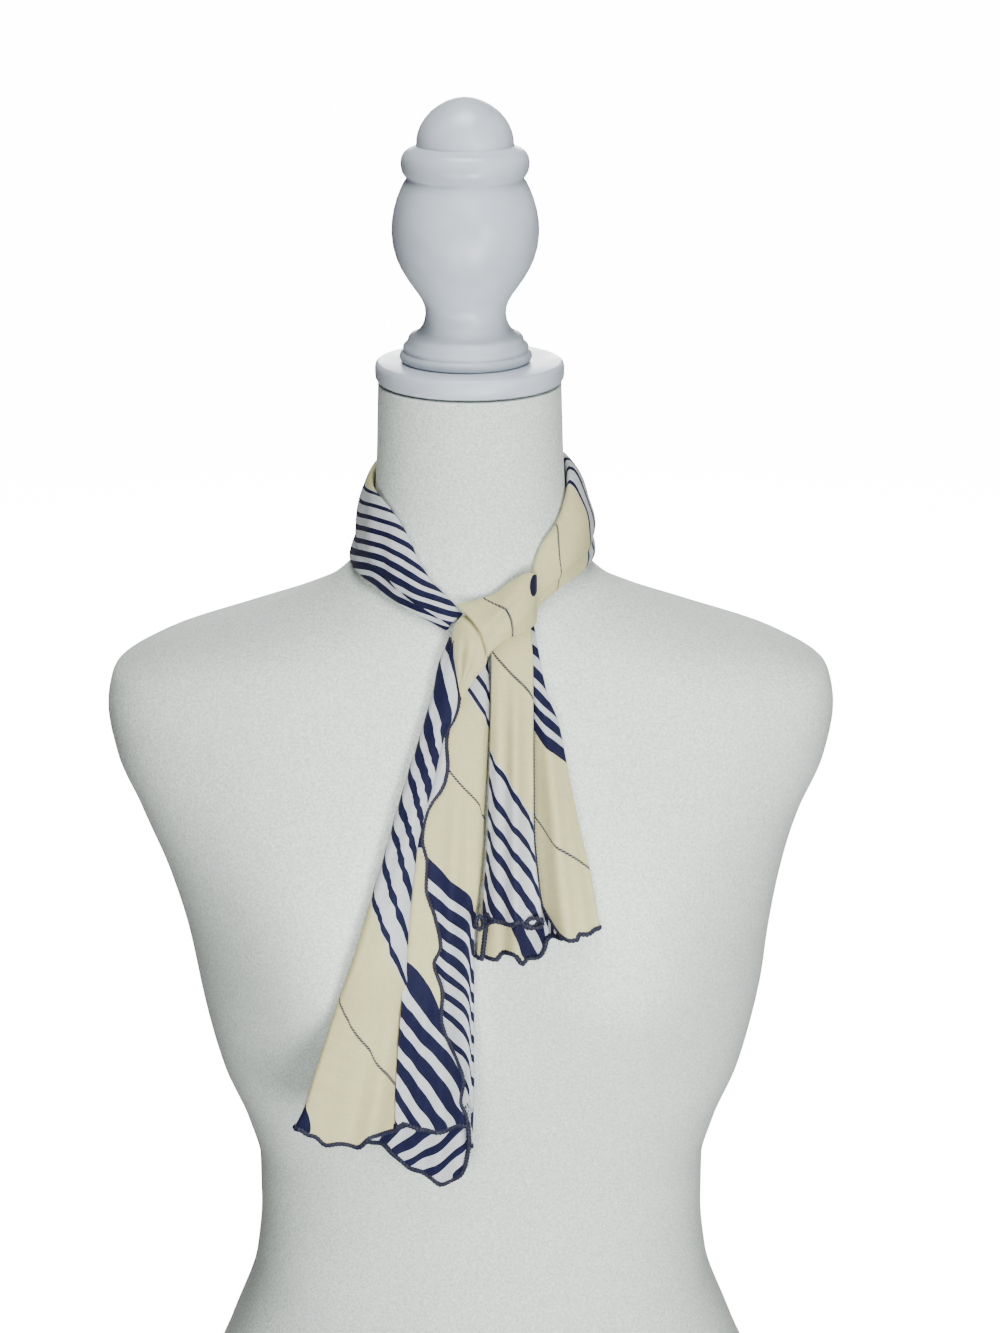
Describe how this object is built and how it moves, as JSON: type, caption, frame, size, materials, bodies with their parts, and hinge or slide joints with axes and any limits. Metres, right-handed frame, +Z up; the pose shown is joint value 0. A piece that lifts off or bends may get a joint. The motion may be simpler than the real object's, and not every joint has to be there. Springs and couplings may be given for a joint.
{
  "type": "striped scarf on a dress form",
  "caption": "Oblong striped scarf folded to a band and half-knotted at the front of a limbless dress form, its tails hanging in pleats; turned finial on top.",
  "frame": {"origin": "on the flat underside of the torso, below the middle of the neck", "axes": "+X to the viewer's right, -Y to the front of the form, +Z up"},
  "size_m": [0.398, 0.2661, 0.8581],
  "materials": {
    "scarf_cloth": "light woven cloth, matt, printed in cream, white and navy stripes",
    "jersey_cover": "matt knitted jersey stretched over the form",
    "painted_wood": "turned wood in white satin paint"
  },
  "bodies": {
    "root": {"scarf_neck_left": "scarf_cloth", "scarf_neck_back": "scarf_cloth", "scarf_neck_right": "scarf_cloth", "scarf_knot": "scarf_cloth", "scarf_tail_long": "scarf_cloth", "scarf_tail_short": "scarf_cloth", "form_torso": "jersey_cover", "neck_plate": "painted_wood", "finial": "painted_wood"}
  },
  "joints": []
}
